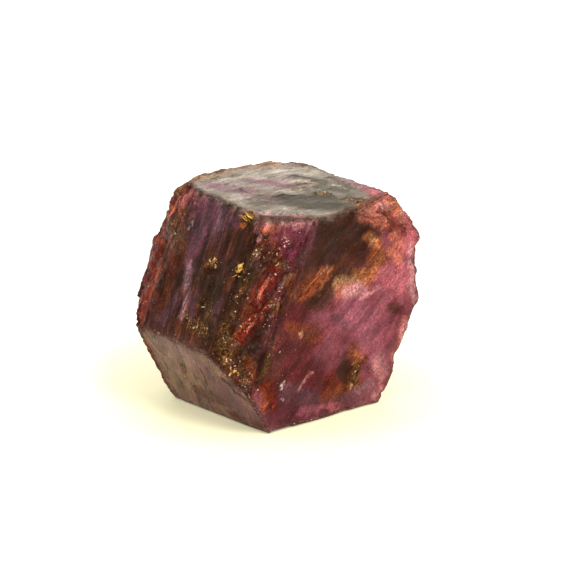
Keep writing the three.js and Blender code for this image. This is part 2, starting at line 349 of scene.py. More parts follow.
def shapeSurface(piece):
    points = readPoints(piece)
    normals = readNormals(piece)
    share = shareOfFaces(points, ruby["edgeBlend"])
    sharpShare = shareOfFaces(points, ruby["rimBlend"])
    streak = streakPlaces(points, sharpShare)
    edge = smooth(0.02, 0.16, turnOf(share))
    rim = smooth(0.01, 0.12, turnOf(sharpShare))
    basal, prism, allBroken = (
        sum(share[name] for name in faces if faces[name]["finish"] == kind)
        for kind in ("basal", "prism", "broken")
    )
    # The broken ground also reaches onto the faces beside it, in patches
    patchy = smooth(0.1, 0.7, fractal(points, ruby["patchSize"], 3, 11) + 0.25)
    wideShare = shareOfFaces(points, ruby["patchReach"])
    nearBroken = sum(wideShare[name] for name in faces if faces[name]["finish"] == "broken")
    broken = np.clip(np.maximum(allBroken * 1.15, nearBroken * patchy), 0, 1)

    # Broken ground: ridges along the streaks, lumps and grains
    long = streak * np.array([0.28, 1, 1])
    wavy = long + 0.25 * np.stack([fractal(points, 0.8, 2, 15 + n) for n in range(3)], 1)
    ridges = 1 - 2 * np.abs(noise(wavy, ruby["ridgeWidth"], 22))
    fineRidges = 1 - 2 * np.abs(noise(wavy, ruby["fineRidgeWidth"], 23))
    beadNear, beadPick = cells(streak * np.array([0.6, 1, 1]), ruby["beadSize"], 5)
    grainNear, grainPick = cells(points, ruby["grainSize"], 6)
    beads = (0.6 - beadNear) * (0.5 + beadPick)
    grains = (0.6 - grainNear) * (0.4 + grainPick)
    height = broken * ruby["ridgeHeight"] * (0.6 * ridges + 0.4 * fineRidges)
    height += broken * (ruby["beadHeight"] * beads + ruby["grainHeight"] * grains)
    height += broken * ruby["humpHeight"] * fractal(points, ruby["humpSize"], 3, 21)
    for name, (u, v), reach, rise in ruby["lumps"]:
        origin, across, up = faceFrame(name)
        away = np.linalg.norm(points - origin - across * u - up * v, axis=1)
        height += rise * smooth(reach, 0.1 * reach, away)

    # Growth lines square to the c axis on the prism faces
    along = points[:, 1] + 0.05 * fractal(points, 2.2, 2, 31)
    line = np.stack([along, np.zeros_like(along), np.zeros_like(along)], 1)
    fade = smooth(-0.35, 0.35, fractal(points * np.array([0.35, 1.0, 0.35]), 1.4, 2, 32))
    steps = np.round(noise(line, ruby["growthLineWidth"], 33) * 2.5) / 2.5
    steps += 0.45 * noise(line, ruby["fineGrowthLineWidth"], 34)
    height += (prism * (1 - broken)) * ruby["growthLineHeight"] * steps * (0.3 + 0.7 * fade)

    # Streaks and low steps across the basal faces
    flat = streak * np.array([0.22, 1, 0.2])
    ledges = fractal(flat, ruby["streakWidth"], 3, 41)
    ledges = 0.6 * ledges + 0.4 * np.round(ledges * 4) / 4
    streaks = ledges * 1.5 + 0.4 * noise(flat, ruby["fineStreakWidth"], 43)
    height += basal * (1 - broken) * ruby["streakHeight"] * streaks

    # A fringe of short upright teeth under the rim of the top face
    underTop = faces["top"]["distance"] - points @ faceNormals["top"]
    sides = np.clip(1 - share["top"] * 1.6, 0, 1)
    teeth = noise(points * np.array([1, 1, 0.22]), ruby["toothWidth"], 61)
    uneven = underTop + 0.35 * teeth + 0.35 * fractal(points, 1.2, 2, 62)
    fringe = sides * smooth(0.75, 0.15, uneven)
    height -= fringe * ruby["toothDepth"] * smooth(0.25, -0.35, teeth)

    # Chips along the edges
    chips = smooth(0.0, 0.9, fractal(points, ruby["chipSize"], 2, 51) + 0.1)
    height -= edge * ruby["chipDepth"] * chips * (0.12 + 0.88 * np.clip(allBroken * 1.6, 0, 1))

    # The resting face stays flat
    rest = -faces["under"]["distance"]
    height *= smooth(0.02, 0.5, points[:, 2] - rest)
    moved = points + normals * height[:, None]
    moved[:, 2] = np.maximum(moved[:, 2], rest)
    writePoints(piece, moved)
    return {"points": points, "broken": broken, "height": height, "streak": streak,
            "fringe": fringe, "teeth": teeth, "rim": rim}


def saveMask(piece, name, values):
    mask = piece.data.attributes.new(name, "FLOAT", "POINT")
    mask.data.foreach_set("value", np.asarray(values, np.float32))


# Colours of the crystal in white light; two of them stand for light rather than the crystal's own
# colour: a painted sheen and a painted highlight. After each: how rusty it is, how densely painted
# glints are strewn on it, and how much of the faces' silvery film it carries.
palette = {
    "rose": ((0.175, 0.035, 0.047), 0.0, 0.15, 0.03),
    "mauve": ((0.255, 0.068, 0.094), 0.0, 0.15, 0.04),
    "brightRose": ((0.42, 0.10, 0.12), 0.0, 0.3, 0.1),
    "paleRose": ((0.55, 0.22, 0.22), 0.1, 0.4, 0.2),
    "magenta": ((0.135, 0.020, 0.038), 0.0, 0.4, 0.04),
    "plum": ((0.075, 0.011, 0.020), 0.0, 0.15, 0.02),
    "purple": ((0.085, 0.024, 0.036), 0.0, 0.3, 0.2),
    "lilac": ((0.20, 0.092, 0.108), 0.0, 0.4, 0.2),
    "wine": ((0.075, 0.008, 0.009), 0.2, 0.3, 0.02),
    "brick": ((0.112, 0.008, 0.003), 0.7, 0.5, 0.0),
    "salmon": ((0.50, 0.13, 0.08), 0.4, 0.45, 0.12),
    "rust": ((0.17, 0.034, 0.008), 1.0, 0.5, 0.0),
    "amber": ((0.32, 0.095, 0.025), 0.85, 0.5, 0.03),
    "honey": ((0.42, 0.20, 0.08), 0.8, 0.7, 0.1),
    "ochre": ((0.085, 0.034, 0.006), 0.8, 1.0, 0.0),
    "umber": ((0.028, 0.006, 0.002), 0.2, 0.1, 0.0),
    "chestnut": ((0.056, 0.0145, 0.006), 0.3, 0.35, 0.0),
    "moss": ((0.030, 0.015, 0.005), 0.35, 0.4, 0.0),
    "grey": ((0.185, 0.142, 0.094), 0.1, 0.1, 0.3),
    # Painted highlight: near white, for small glints and a brighter sheen on the top
    "paintedHighlight": ((0.8, 0.64, 0.55), 0.0, 0.1, 0.1),
    # Painted sheen: a pale grey that stands in for the reflection of the white room on smooth faces
    "paintedSheen": ((0.35, 0.285, 0.215), 0.0, 0.05, 0.8),
    "olive": ((0.046, 0.035, 0.014), 0.1, 0.1, 0.12),
    "clay": ((0.135, 0.062, 0.048), 0.1, 0.1, 0.24),
    "tan": ((0.195, 0.098, 0.062), 0.1, 0.1, 0.24),
}

# The view in which the places of the seen stains were noted: its azimuth from the front,
# its elevation, its distance in mm, its scale and the pixel on which the crystal's centre lies
notedView = {
    "azimuth": -43,
    "elevation": 18,
    "distance": 300,
    "pixelsPerMillimetre": 14,
    "centreAcross": 279,
    "centreDown": 300,
}

# Stains of the seen faces, among them patches of painted sheen and painted highlight: colour, the
# two ends of its middle line (pixels across and down in the noted view), half its width in mm, and
# its strength. A later one covers those before it.
seenStains = {
    "front": [
        ("chestnut", 316, 252, 292, 318, 1.3, 0.9), ("wine", 296, 318, 280, 352, 1.1, 0.8),
        ("wine", 300, 300, 285, 345, 1.1, 0.8), ("wine", 304, 342, 288, 378, 1.4, 0.9),
        ("rust", 290, 331, 316, 339, 0.55, 0.6), ("honey", 299, 335, 301, 336, 0.13, 0.7),
        ("mauve", 352, 312, 372, 330, 1.2, 0.85), ("mauve", 366, 338, 374, 352, 0.9, 0.8),
        ("brightRose", 384, 276, 402, 288, 0.9, 0.85),
        ("brightRose", 392, 262, 400, 272, 0.6, 0.7), ("paleRose", 378, 362, 384, 374, 0.5, 0.5),
        ("brightRose", 404, 226, 414, 248, 0.8, 0.85), ("rose", 384, 318, 372, 348, 0.5, 0.5),
        ("wine", 318, 340, 326, 362, 0.6, 0.45), ("plum", 283, 408, 340, 400, 1.5, 1),
        ("plum", 270, 424, 300, 416, 0.9, 0.9), ("plum", 290, 378, 322, 372, 0.7, 0.6),
        ("wine", 296, 392, 324, 388, 0.8, 0.6), ("purple", 322, 398, 346, 396, 0.7, 0.75),
        ("purple", 352, 400, 378, 394, 0.5, 0.5), ("wine", 276, 384, 316, 376, 1, 0.8),
        ("purple", 286, 396, 310, 402, 0.6, 0.7), ("brightRose", 322, 410, 340, 408, 0.3, 0.6),
        ("mauve", 300, 414, 320, 412, 0.3, 0.5), ("purple", 332, 319, 344, 326, 0.35, 0.6),
        ("wine", 316, 300, 330, 306, 0.5, 0.6), ("wine", 393, 308, 402, 318, 0.5, 0.85),
        ("chestnut", 388, 309, 396, 315, 0.3, 0.8), ("wine", 297, 318, 323, 296, 0.75, 0.8),
        ("salmon", 405, 325, 397, 358, 0.35, 0.75), ("paleRose", 410, 250, 414, 300, 0.32, 0.85),
        ("paleRose", 406, 330, 400, 350, 0.3, 0.8), ("paleRose", 384, 392, 376, 398, 0.4, 0.5),
        ("umber", 320, 248, 364, 230, 1.25, 0.95), ("umber", 326, 240, 362, 238, 1.5, 0.97),
        ("umber", 318, 232, 352, 223, 0.8, 0.9), ("umber", 357, 250, 371, 259, 0.8, 0.97),
        ("umber", 338, 262, 350, 272, 0.8, 0.9), ("chestnut", 350, 268, 314, 300, 0.9, 0.9),
        ("umber", 336, 283, 312, 301, 0.38, 0.85), ("rust", 322, 275, 301, 295, 0.6, 0.8),
        ("amber", 334, 268, 324, 284, 0.22, 0.8), ("honey", 330, 266, 321, 275, 0.14, 0.7),
        ("amber", 331, 280, 318, 294, 0.16, 0.7), ("amber", 369, 239, 378, 246, 0.4, 0.7),
        ("honey", 370, 240, 374, 244, 0.2, 0.7), ("amber", 382, 256, 372, 280, 0.5, 0.9),
        ("rust", 376, 256, 368, 268, 0.4, 0.8), ("rust", 385, 264, 393, 250, 0.5, 0.8),
        ("salmon", 392, 252, 398, 262, 0.5, 0.85), ("amber", 356, 276, 372, 281, 0.45, 0.85),
        ("honey", 338, 288, 352, 284, 0.4, 0.8), ("salmon", 340, 292, 352, 288, 0.4, 0.7),
        ("honey", 356, 280, 364, 286, 0.3, 0.6), ("paleRose", 346, 293, 366, 288, 0.45, 0.8),
        ("paleRose", 361, 300, 379, 287, 0.2, 0.7), ("magenta", 389, 263, 396, 272, 0.3, 0.4),
        ("brick", 380, 222, 402, 233, 0.6, 0.8), ("brick", 392, 222, 402, 230, 0.4, 0.45),
        ("salmon", 366, 217, 382, 224, 0.5, 0.85), ("salmon", 392, 236, 402, 244, 0.35, 0.6),
        ("rust", 356, 384, 328, 394, 0.7, 0.85), ("rust", 352, 352, 362, 362, 0.5, 0.75),
        ("brick", 330, 382, 344, 376, 0.65, 0.9), ("brick", 326, 392, 340, 382, 0.5, 0.8),
        ("umber", 343, 371, 353, 375, 0.78, 1.05), ("rust", 348, 358, 358, 364, 0.35, 0.7),
        ("umber", 325, 390, 338, 386, 0.35, 0.55), ("ochre", 358, 366, 356, 384, 0.4, 0.8),
        ("honey", 352, 388, 360, 382, 0.16, 0.8), ("amber", 352, 354, 362, 358, 0.2, 0.7),
        ("wine", 368, 364, 378, 380, 0.4, 0.5), ("lilac", 358, 392, 372, 384, 0.4, 0.6),
        ("paleRose", 297, 394, 312, 376, 0.12, 0.8), ("paintedHighlight", 283, 384, 283, 386, 0.12, 0.95),
        ("paintedHighlight", 282, 396, 284, 398, 0.12, 0.95), ("umber", 262, 362, 266, 388, 0.7, 0.95),
        ("chestnut", 268, 372, 278, 362, 0.6, 0.7), ("ochre", 264, 372, 268, 360, 0.3, 0.8),
        ("brick", 268, 390, 272, 408, 0.6, 0.9), ("rust", 262, 396, 262, 410, 0.4, 0.8),
        ("paleRose", 300, 338, 301, 339, 0.12, 0.8),
    ],
    "frontLeftBreak": [
        ("wine", 300, 262, 282, 300, 1, 0.9), ("wine", 306, 290, 290, 330, 0.8, 0.85),
        ("magenta", 290, 235, 312, 242, 0.9, 0.95), ("magenta", 285, 232, 290, 256, 0.6, 0.95),
        ("lilac", 303, 262, 313, 246, 0.4, 0.75), ("paleRose", 294, 227, 312, 227, 0.32, 0.7),
        ("wine", 281, 228, 284, 241, 0.3, 0.9), ("umber", 277, 262, 281, 268, 0.28, 0.85),
        ("umber", 290, 246, 293, 250, 0.2, 0.8), ("moss", 247, 282, 236, 302, 0.7, 0.8),
        ("chestnut", 243, 300, 226, 334, 0.8, 0.8), ("rust", 301, 285, 274, 336, 0.6, 0.85),
        ("umber", 282, 324, 272, 350, 0.7, 1), ("wine", 300, 318, 292, 348, 0.6, 0.9),
        ("umber", 292, 280, 284, 300, 0.3, 0.8), ("rust", 256, 300, 236, 340, 0.35, 0.75),
        ("brick", 277, 262, 262, 300, 0.55, 0.97), ("brick", 262, 300, 242, 345, 0.6, 0.97),
        ("salmon", 276, 240, 270, 262, 0.25, 0.4), ("salmon", 268, 282, 258, 305, 0.16, 0.7),
        ("salmon", 254, 318, 246, 334, 0.14, 0.6), ("salmon", 263, 221, 277, 225, 0.5, 1),
        ("rose", 283, 227, 289, 240, 0.42, 0.7), ("mauve", 305, 229, 314, 244, 0.4, 0.65),
        ("salmon", 267, 222, 272, 231, 0.42, 0.8), ("paleRose", 260, 219, 312, 222, 0.3, 0.8),
        ("paleRose", 260, 219, 260, 241, 0.16, 0.85), ("amber", 295, 275, 286, 290, 0.16, 0.8),
        ("amber", 301, 290, 290, 306, 0.16, 0.85), ("honey", 290, 277, 284, 288, 0.1, 0.6),
        ("amber", 282, 300, 272, 318, 0.14, 0.8), ("moss", 261, 350, 257, 382, 0.8, 1.1),
        ("umber", 268, 318, 256, 350, 0.45, 0.92), ("umber", 232, 328, 222, 353, 0.35, 0.92),
        ("umber", 250, 346, 240, 352, 0.3, 0.8), ("umber", 270, 334, 258, 360, 0.4, 0.6),
        ("umber", 286, 334, 282, 356, 0.32, 0.6), ("ochre", 275, 345, 270, 372, 0.5, 0.9),
        ("ochre", 222, 342, 246, 376, 0.45, 0.95), ("ochre", 246, 376, 260, 398, 0.5, 0.95),
        ("ochre", 234, 352, 248, 364, 0.5, 0.85), ("ochre", 222, 328, 246, 284, 0.22, 0.85),
        ("ochre", 238, 272, 262, 252, 0.3, 0.85), ("ochre", 268, 258, 282, 268, 0.3, 0.8),
        ("ochre", 274, 304, 286, 316, 0.3, 0.85), ("ochre", 214, 326, 228, 340, 0.4, 0.85),
        ("umber", 258, 350, 262, 388, 0.7, 0.9), ("ochre", 240, 362, 252, 392, 0.35, 0.92),
        ("chestnut", 232, 352, 248, 380, 0.5, 0.7), ("ochre", 246, 380, 258, 404, 0.3, 0.8),
        ("rust", 246, 360, 254, 376, 0.3, 0.7), ("rust", 252, 398, 262, 408, 0.5, 0.85),
        ("brick", 265, 388, 272, 402, 0.7, 0.97), ("salmon", 263, 392, 270, 393, 0.16, 0.55),
        ("magenta", 272, 410, 266, 424, 0.5, 0.7), ("ochre", 216, 342, 226, 362, 0.5, 0.8),
    ],
    "leftUpper": [
        ("purple", 200, 200, 210, 262, 1.4, 0.9), ("purple", 203, 195, 214, 226, 1.2, 1),
        ("purple", 221, 200, 227, 226, 0.6, 0.9), ("lilac", 218, 204, 221, 226, 0.2, 0.55),
        ("lilac", 210, 190, 224, 196, 0.2, 0.5), ("purple", 240, 214, 233, 224, 0.5, 0.85),
        ("umber", 244, 226, 240, 262, 0.75, 0.85), ("chestnut", 225, 236, 232, 262, 0.7, 0.7),
        ("chestnut", 214, 246, 212, 262, 0.7, 0.9), ("umber", 206, 252, 204, 280, 0.5, 0.85),
        ("umber", 232, 240, 226, 252, 0.4, 0.6), ("moss", 215, 275, 208, 330, 0.7, 0.8),
        ("umber", 223, 290, 212, 336, 0.5, 0.7), ("purple", 196, 240, 188, 268, 0.5, 0.85),
        ("lilac", 188, 264, 180, 320, 0.34, 0.8), ("purple", 193, 300, 190, 324, 0.5, 0.6),
        ("umber", 178, 262, 172, 302, 0.4, 0.85), ("purple", 174, 302, 160, 322, 0.55, 0.8),
        ("lilac", 176, 318, 192, 322, 0.2, 0.5), ("ochre", 184, 320, 208, 336, 0.4, 0.85),
        ("ochre", 200, 302, 212, 318, 0.3, 0.8), ("ochre", 188, 330, 206, 338, 0.3, 0.7),
        ("moss", 200, 262, 198, 282, 0.5, 0.6), ("purple", 219, 300, 216, 322, 0.22, 0.7),
        ("umber", 206, 268, 226, 272, 0.4, 0.9), ("umber", 224, 348, 244, 342, 0.4, 0.55),
        ("ochre", 211, 261, 219, 264, 0.28, 0.85), ("umber", 228, 266, 250, 282, 0.55, 0.95),
        ("ochre", 234, 272, 244, 274, 0.25, 0.85), ("amber", 241, 226, 259, 210, 0.26, 0.97),
        ("umber", 238, 224, 250, 212, 0.12, 0.8), ("clay", 190, 218, 177, 236, 0.3, 0.8),
        ("paintedSheen", 191, 222, 189, 230, 0.1, 0.8),
    ],
    "backLeftBreak": [
        ("brick", 196, 188, 186, 205, 0.9, 0.95), ("brick", 182, 200, 172, 216, 0.8, 0.95),
        ("salmon", 194, 186, 190, 196, 0.35, 0.85), ("rust", 186, 200, 178, 222, 0.5, 0.8),
        ("salmon", 176, 206, 168, 220, 0.25, 0.8), ("brightRose", 190, 192, 184, 206, 0.3, 0.7),
        ("amber", 169, 208, 163, 223, 0.35, 0.9), ("ochre", 172, 226, 180, 250, 0.6, 0.85),
        ("clay", 166, 236, 174, 252, 0.4, 0.8), ("umber", 166, 252, 160, 292, 0.35, 0.85),
        ("brick", 153, 262, 146, 302, 0.9, 0.92), ("salmon", 150, 258, 141, 300, 0.28, 0.75),
        ("rust", 160, 268, 150, 306, 0.35, 0.7), ("wine", 152, 305, 146, 326, 0.6, 0.92),
        ("purple", 162, 316, 147, 326, 0.4, 0.8),
    ],
    "leftLower": [
        ("tan", 146, 340, 168, 376, 0.8, 0.8), ("salmon", 142, 342, 158, 376, 0.25, 0.45),
        ("olive", 166, 372, 178, 384, 0.7, 0.35), ("purple", 222, 398, 254, 420, 1, 0.85),
        ("purple", 206, 374, 232, 396, 0.9, 0.6), ("chestnut", 196, 392, 226, 406, 0.5, 0.5),
        ("wine", 230, 416, 258, 428, 0.4, 0.7), ("umber", 226, 384, 256, 412, 0.2, 0.7),
        ("moss", 146, 336, 160, 352, 0.3, 0.35), ("lilac", 176, 352, 196, 366, 0.5, 0.4),
        ("chestnut", 198, 368, 206, 384, 0.12, 0.7), ("paintedSheen", 181, 360, 184, 366, 0.08, 0.8),
        ("paintedSheen", 188, 378, 192, 383, 0.08, 0.8), ("umber", 200, 362, 230, 392, 0.05, 0.7),
        ("umber", 160, 358, 172, 384, 0.04, 0.5),
    ],
    "top": [
        ("paintedSheen", 246, 171, 302, 171, 1.1, 0.75), ("paintedSheen", 250, 180, 275, 190, 0.9, 0.5),
        ("lilac", 214, 187, 244, 192, 0.9, 0.9), ("lilac", 256, 182, 284, 186, 0.9, 0.9),
        ("lilac", 268, 196, 284, 204, 0.5, 0.6), ("paintedSheen", 304, 176, 330, 178, 0.6, 0.6),
        ("olive", 300, 205, 342, 207, 1.2, 0.97), ("olive", 286, 197, 326, 198, 0.9, 0.95),
        ("olive", 252, 203, 284, 206, 0.5, 0.6), ("paleRose", 258, 213, 300, 216, 0.25, 0.6),
        ("moss", 262, 198, 290, 202, 0.6, 0.35), ("olive", 322, 186, 344, 192, 0.6, 0.8),
        ("moss", 296, 178, 322, 182, 0.6, 0.8), ("moss", 330, 178, 352, 188, 0.5, 0.8),
        ("umber", 290, 201, 326, 196, 0.13, 0.6), ("ochre", 297, 185, 311, 184, 0.25, 0.9),
        ("umber", 300, 189, 311, 187, 0.14, 0.85), ("ochre", 319, 193, 327, 196, 0.4, 0.95),
        ("umber", 318, 190, 330, 194, 0.16, 0.9), ("ochre", 350, 200, 364, 203, 0.5, 0.95),
        ("umber", 352, 204, 364, 205, 0.12, 0.8), ("brightRose", 364, 184, 380, 196, 0.8, 0.9),
        ("salmon", 375, 200, 384, 204, 0.35, 0.75), ("lilac", 340, 180, 362, 186, 0.5, 0.65),
        ("honey", 196, 178, 240, 166, 0.5, 0.9), ("honey", 240, 166, 292, 160, 0.4, 0.85),
        ("clay", 292, 161, 344, 174, 0.5, 0.8), ("ochre", 204, 175, 232, 168, 0.22, 0.85),
        ("umber", 210, 172, 214, 171, 0.14, 0.9), ("umber", 236, 168, 242, 166, 0.14, 0.9),
        ("umber", 198, 182, 238, 184, 0.05, 0.8), ("chestnut", 232, 186, 250, 198, 0.1, 0.6),
        ("lilac", 250, 200, 290, 206, 0.3, 0.5), ("paintedHighlight", 258, 178, 302, 181, 0.6, 0.22),
        ("paintedHighlight", 284, 184, 306, 182, 0.4, 0.25), ("tan", 230, 168, 322, 166, 0.8, 0.5),
        ("honey", 236, 166, 300, 163, 0.5, 0.3),
    ],
    "frontTopBreak": [
        ("salmon", 364, 208, 384, 212, 0.5, 0.85), ("rust", 356, 210, 366, 218, 0.4, 0.85),
        ("brick", 384, 216, 402, 224, 0.5, 0.8), ("honey", 388, 199, 406, 218, 0.2, 0.85),
        ("paleRose", 378, 206, 390, 208, 0.3, 0.7), ("umber", 351, 217, 358, 214, 0.25, 0.85),
        ("amber", 390, 206, 400, 216, 0.3, 0.7), ("brightRose", 404, 216, 412, 228, 0.3, 0.7),
    ],
}

# The same for the hidden faces, with the two ends in mm in the face's frame
hiddenStains = {
    "back": [
        ("wine", -4.5, 2, -1.5, 3.6, 1.2, 0.8), ("umber", -3.8, 4.2, 0.6, 5.6, 1.2, 0.92),
        ("rust", -5, 3, -3.2, 4.4, 0.6, 0.8), ("amber", -1.2, 3.6, 0.4, 4.4, 0.3, 0.85),
        ("amber", 0.8, 3.6, 1.8, 4.8, 0.45, 0.85), ("chestnut", -0.6, 2.2, 2.2, 3.4, 0.5, 0.8),
        ("brightRose", 0.6, 0.4, 4, 1.6, 0.9, 0.7), ("lilac", -2.4, -0.2, 0.6, 0.8, 0.4, 0.55),
        ("purple", -0.4, -1.4, 2.6, -0.6, 0.4, 0.8),
        ("brightRose", -3.2, -2.6, -0.4, -1.6, 0.9, 0.55), ("umber", 1.6, -3.6, 3, -3, 0.7, 0.95),
        ("rust", 2.6, -4.4, 4.2, -3.6, 0.6, 0.8), ("honey", 2, -4.4, 2.8, -4.2, 0.25, 0.8),
        ("magenta", -4.6, -5.4, 1.4, -5.6, 0.9, 0.8), ("wine", -4.8, -2.4, -3.4, -1, 0.7, 0.8),
        ("paleRose", -1.4, 1.6, 1.2, 2.2, 0.2, 0.7), ("rust", -1.8, -4, -0.4, -3.4, 0.4, 0.7),
        ("salmon", 3.8, 1.8, 4.8, 3.8, 0.4, 0.7), ("paleRose", -2, -4.6, -0.6, -3.8, 0.12, 0.7),
    ],
    "rightUpper": [
        ("purple", -4.5, 2.2, -4, -0.6, 0.9, 0.9), ("lilac", -1.6, 2, -1.4, -1.2, 0.35, 0.6),
        ("umber", 0.8, 2.2, 0.6, -0.8, 0.8, 0.85), ("ochre", 1.8, 1.2, 2.8, 0.8, 0.35, 0.9),
        ("moss", 3.4, 1.8, 3.2, -0.6, 0.6, 0.8), ("rust", 4.6, 2, 4.2, 0.2, 0.5, 0.8),
        ("paintedSheen", -2.8, 1.2, -2.8, -0.8, 0.3, 0.5),
    ],
    "rightLower": [
        ("paintedSheen", -2.6, 1, -0.4, 0.6, 0.9, 0.5), ("lilac", 0.8, 0.6, 1.8, -1.8, 0.5, 0.45),
        ("chestnut", 2.4, 1, 3, -2, 0.6, 0.6), ("ochre", 3.6, 1, 3.9, -1.4, 0.35, 0.75),
        ("purple", -4.4, -1.4, -2.2, -2, 0.6, 0.6), ("umber", -1, -0.9, 0, -1.1, 0.2, 0.8),
        ("magenta", 3.6, -2.6, 5, -2.2, 0.5, 0.7),
    ],
    "under": [
        ("paintedSheen", -3.4, 1.6, 0.6, 2.4, 1.2, 0.7), ("lilac", -1.2, -1.8, 1.4, -1.2, 0.9, 0.5),
        ("olive", 1.6, 0.6, 3.2, 1.2, 0.8, 0.7), ("purple", -4.6, -3, -2.6, -3.4, 0.7, 0.6),
        ("ochre", 2.4, -3, 3.2, -2.6, 0.3, 0.8), ("umber", -1.2, 0.2, 0.2, 0.4, 0.14, 0.8),
        ("rust", 3, 3.2, 4.2, 3.8, 0.5, 0.7),
    ],
    "backTopBreak": [
        ("honey", -4.4, 0.6, -2.2, 0.9, 0.5, 0.8), ("brick", -1.6, -0.6, 0.6, -0.2, 0.7, 0.85),
        ("umber", 0.8, 0.8, 2.4, 0.4, 0.4, 0.8), ("salmon", 2.6, -0.4, 3.8, 0.2, 0.4, 0.8),
        ("rust", -3.4, -1, -2, -1.4, 0.5, 0.8),
    ],
    "backLowBreak": [
        ("brick", -2.6, 2.6, -1.4, 0.2, 0.6, 0.9), ("moss", -0.4, 2.2, 0.4, -1.6, 0.6, 0.9),
        ("ochre", 0.8, 0.6, 1.6, -1.4, 0.5, 0.85), ("rust", 2, 2.4, 2.6, 0.4, 0.5, 0.8),
        ("salmon", -1.2, -1.8, -0.4, -2.6, 0.4, 0.75), ("magenta", 2, -1.6, 3, -2.6, 0.6, 0.8),
    ],
    "backRightBreak": [
        ("brick", -1.8, 3.2, -0.8, 0.6, 0.6, 0.92), ("umber", -0.2, 3, 0.6, -0.4, 0.6, 0.92),
        ("amber", 0.8, 2.4, 1.2, 1, 0.25, 0.85), ("magenta", 1.6, 2.8, 2.2, 0.6, 0.7, 0.9),
        ("salmon", -1.4, -0.4, -0.8, -1.6, 0.4, 0.8), ("ochre", 0.2, -1.2, 0.8, -2.4, 0.5, 0.85),
        ("wine", 1.8, -0.8, 2.4, -2.4, 0.6, 0.85),
    ],
    "rightEdge": [
        ("salmon", -4.6, 0.6, -3.2, -0.4, 0.4, 0.8), ("brick", -1.8, 0.6, -0.8, -0.6, 0.5, 0.9),
        ("umber", 0.8, 0.8, 1.4, -0.6, 0.4, 0.85), ("paleRose", 2.2, 0.4, 3, -0.4, 0.3, 0.7),
        ("ochre", 3.8, 0.6, 4.6, -0.2, 0.4, 0.8),
    ],
    "toe": [
        ("magenta", -2.2, 0.8, 0.2, 0.2, 0.6, 0.8), ("salmon", 0.8, 0.6, 1.6, 0.2, 0.3, 0.7),
        ("wine", 2, 0.2, 2.8, -0.4, 0.4, 0.8), ("paleRose", -0.8, -0.4, 0.2, -0.6, 0.2, 0.6),
    ],
}


# Where a pixel of the noted view lies on a face, in the face's frame, to a tenth of a millimetre
def placeOnFace(name, pixelAcross, pixelDown):
    turn, rise = math.radians(notedView["azimuth"]), math.radians(notedView["elevation"])
    level = math.cos(rise)
    back = np.array([math.sin(turn) * level, -math.cos(turn) * level, math.sin(rise)])
    right = np.array([math.cos(turn), math.sin(turn), 0])
    eye = back * notedView["distance"]
    aside = (pixelAcross - notedView["centreAcross"]) / notedView["pixelsPerMillimetre"]
    above = (notedView["centreDown"] - pixelDown) / notedView["pixelsPerMillimetre"]
    sight = right * aside + np.cross(back, right) * above - eye
    normal = faceNormals[name]
    reach = (faces[name]["distance"] - normal @ eye) / (normal @ sight)
    origin, across, up = faceFrame(name)
    spot = eye + reach * sight - origin
    return round(float(spot @ across), 1), round(float(spot @ up), 1)


# All stains of a face, with the ends of their middle lines in its frame
def stainsOn(name):
    found = list(hiddenStains.get(name, []))
    for tone, across1, down1, across2, down2, halfWidth, strength in seenStains.get(name, []):
        ends = (*placeOnFace(name, across1, down1), *placeOnFace(name, across2, down2))
        found.append((tone, *ends, halfWidth, strength))
    return found


def distanceToLine(points, start, end):
    span = end - start
    t = np.clip((points - start) @ span / max(span @ span, 1e-9), 0, 1)
    return np.linalg.norm(points - start - t[:, None] * span, axis=1)


# How the stains lie on the surface, in millimetres
painting = {
    # How far their outlines wander: size, reach and seed
    "wanders": [(1.5, 0.45, 60), (0.4, 0.3, 70)],
    "faceBlend": 0.14,  # how far from an edge the colours of two faces mix
    "cloudSize": 2.0,
    "streakSize": 0.8,
    # How far the stains are drawn out along the streaks, in wide and in fine splinters
    "slideSize": 0.5,
    "slideReach": 0.85,
    "fineSlideSize": 0.13,
    "fineSlideReach": 0.35,
    "softness": (1.6, 0.35),  # where a stain fades out and where it is whole, in half widths
}


# A palette colour and the three numbers after it, in one row
def tint(tone):
    return np.array([*palette[tone][0], *palette[tone][1:]])


